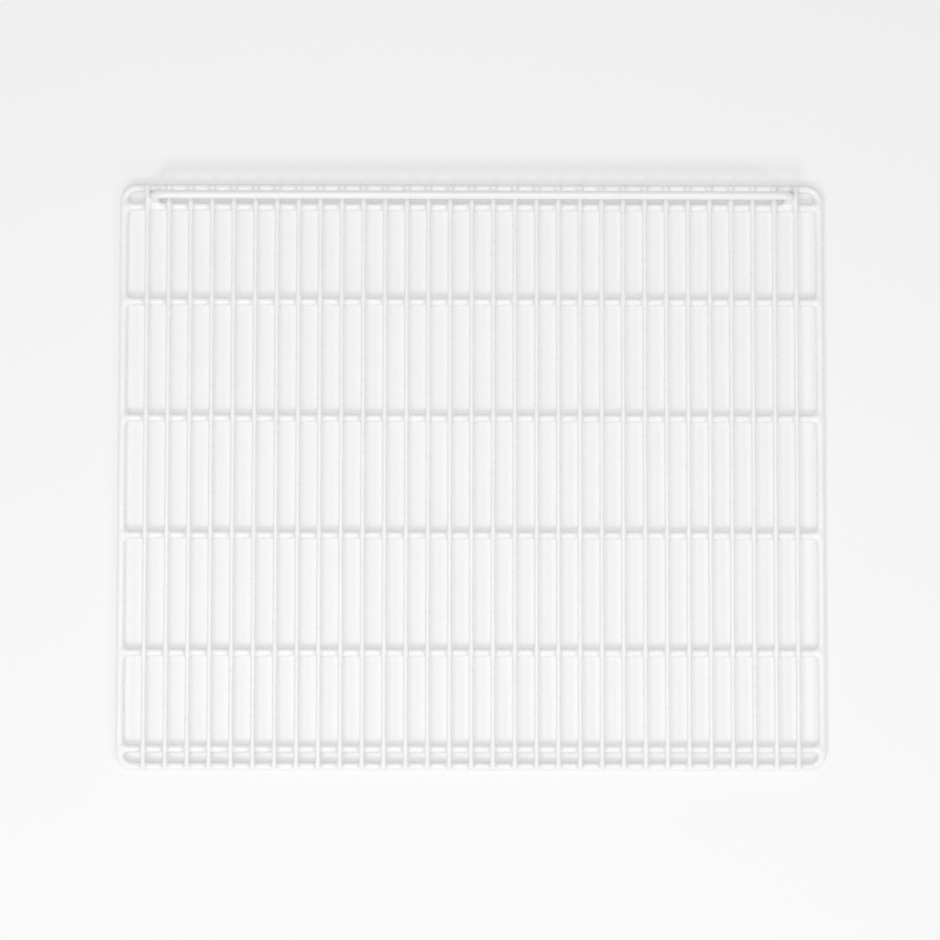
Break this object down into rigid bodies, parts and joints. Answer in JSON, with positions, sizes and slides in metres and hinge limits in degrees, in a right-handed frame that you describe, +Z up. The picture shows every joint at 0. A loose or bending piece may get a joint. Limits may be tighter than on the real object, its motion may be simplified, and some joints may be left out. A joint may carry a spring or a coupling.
{
  "type": "refrigerator wire shelf",
  "caption": "Flat shelf of white coated steel wire, with a rounded rod frame, cross rods under the deck and a raised stop along the rear.",
  "frame": {"origin": "under the middle of the shelf, on the plane that the frame rests on", "axes": "+X along the width to the right, +Y towards the rear stop, +Z up"},
  "size_m": [0.61, 0.506, 0.0315],
  "materials": {
    "frame_coat": "gloss",
    "cross_rod_coat": "gloss",
    "deck_wire_coat": "gloss",
    "stop_coat": "gloss"
  },
  "bodies": {
    "root": {"frame_rod": "frame_coat", "front_cross_rod": "cross_rod_coat", "inner_cross_rod_1": "cross_rod_coat", "inner_cross_rod_2": "cross_rod_coat", "inner_cross_rod_3": "cross_rod_coat", "inner_cross_rod_4": "cross_rod_coat", "rear_cross_rod": "cross_rod_coat", "deck_wire_01": "deck_wire_coat", "deck_wire_02": "deck_wire_coat", "deck_wire_03": "deck_wire_coat", "deck_wire_04": "deck_wire_coat", "deck_wire_05": "deck_wire_coat", "deck_wire_06": "deck_wire_coat", "deck_wire_07": "deck_wire_coat", "deck_wire_08": "deck_wire_coat", "deck_wire_09": "deck_wire_coat", "deck_wire_10": "deck_wire_coat", "deck_wire_11": "deck_wire_coat", "deck_wire_12": "deck_wire_coat", "deck_wire_13": "deck_wire_coat", "deck_wire_14": "deck_wire_coat", "deck_wire_15": "deck_wire_coat", "deck_wire_16": "deck_wire_coat", "deck_wire_17": "deck_wire_coat", "deck_wire_18": "deck_wire_coat", "deck_wire_19": "deck_wire_coat", "deck_wire_20": "deck_wire_coat", "deck_wire_21": "deck_wire_coat", "deck_wire_22": "deck_wire_coat", "deck_wire_23": "deck_wire_coat", "deck_wire_24": "deck_wire_coat", "deck_wire_25": "deck_wire_coat", "deck_wire_26": "deck_wire_coat", "deck_wire_27": "deck_wire_coat", "deck_wire_28": "deck_wire_coat", "deck_wire_29": "deck_wire_coat", "deck_wire_30": "deck_wire_coat", "deck_wire_31": "deck_wire_coat", "rear_stop": "stop_coat"}
  },
  "joints": []
}
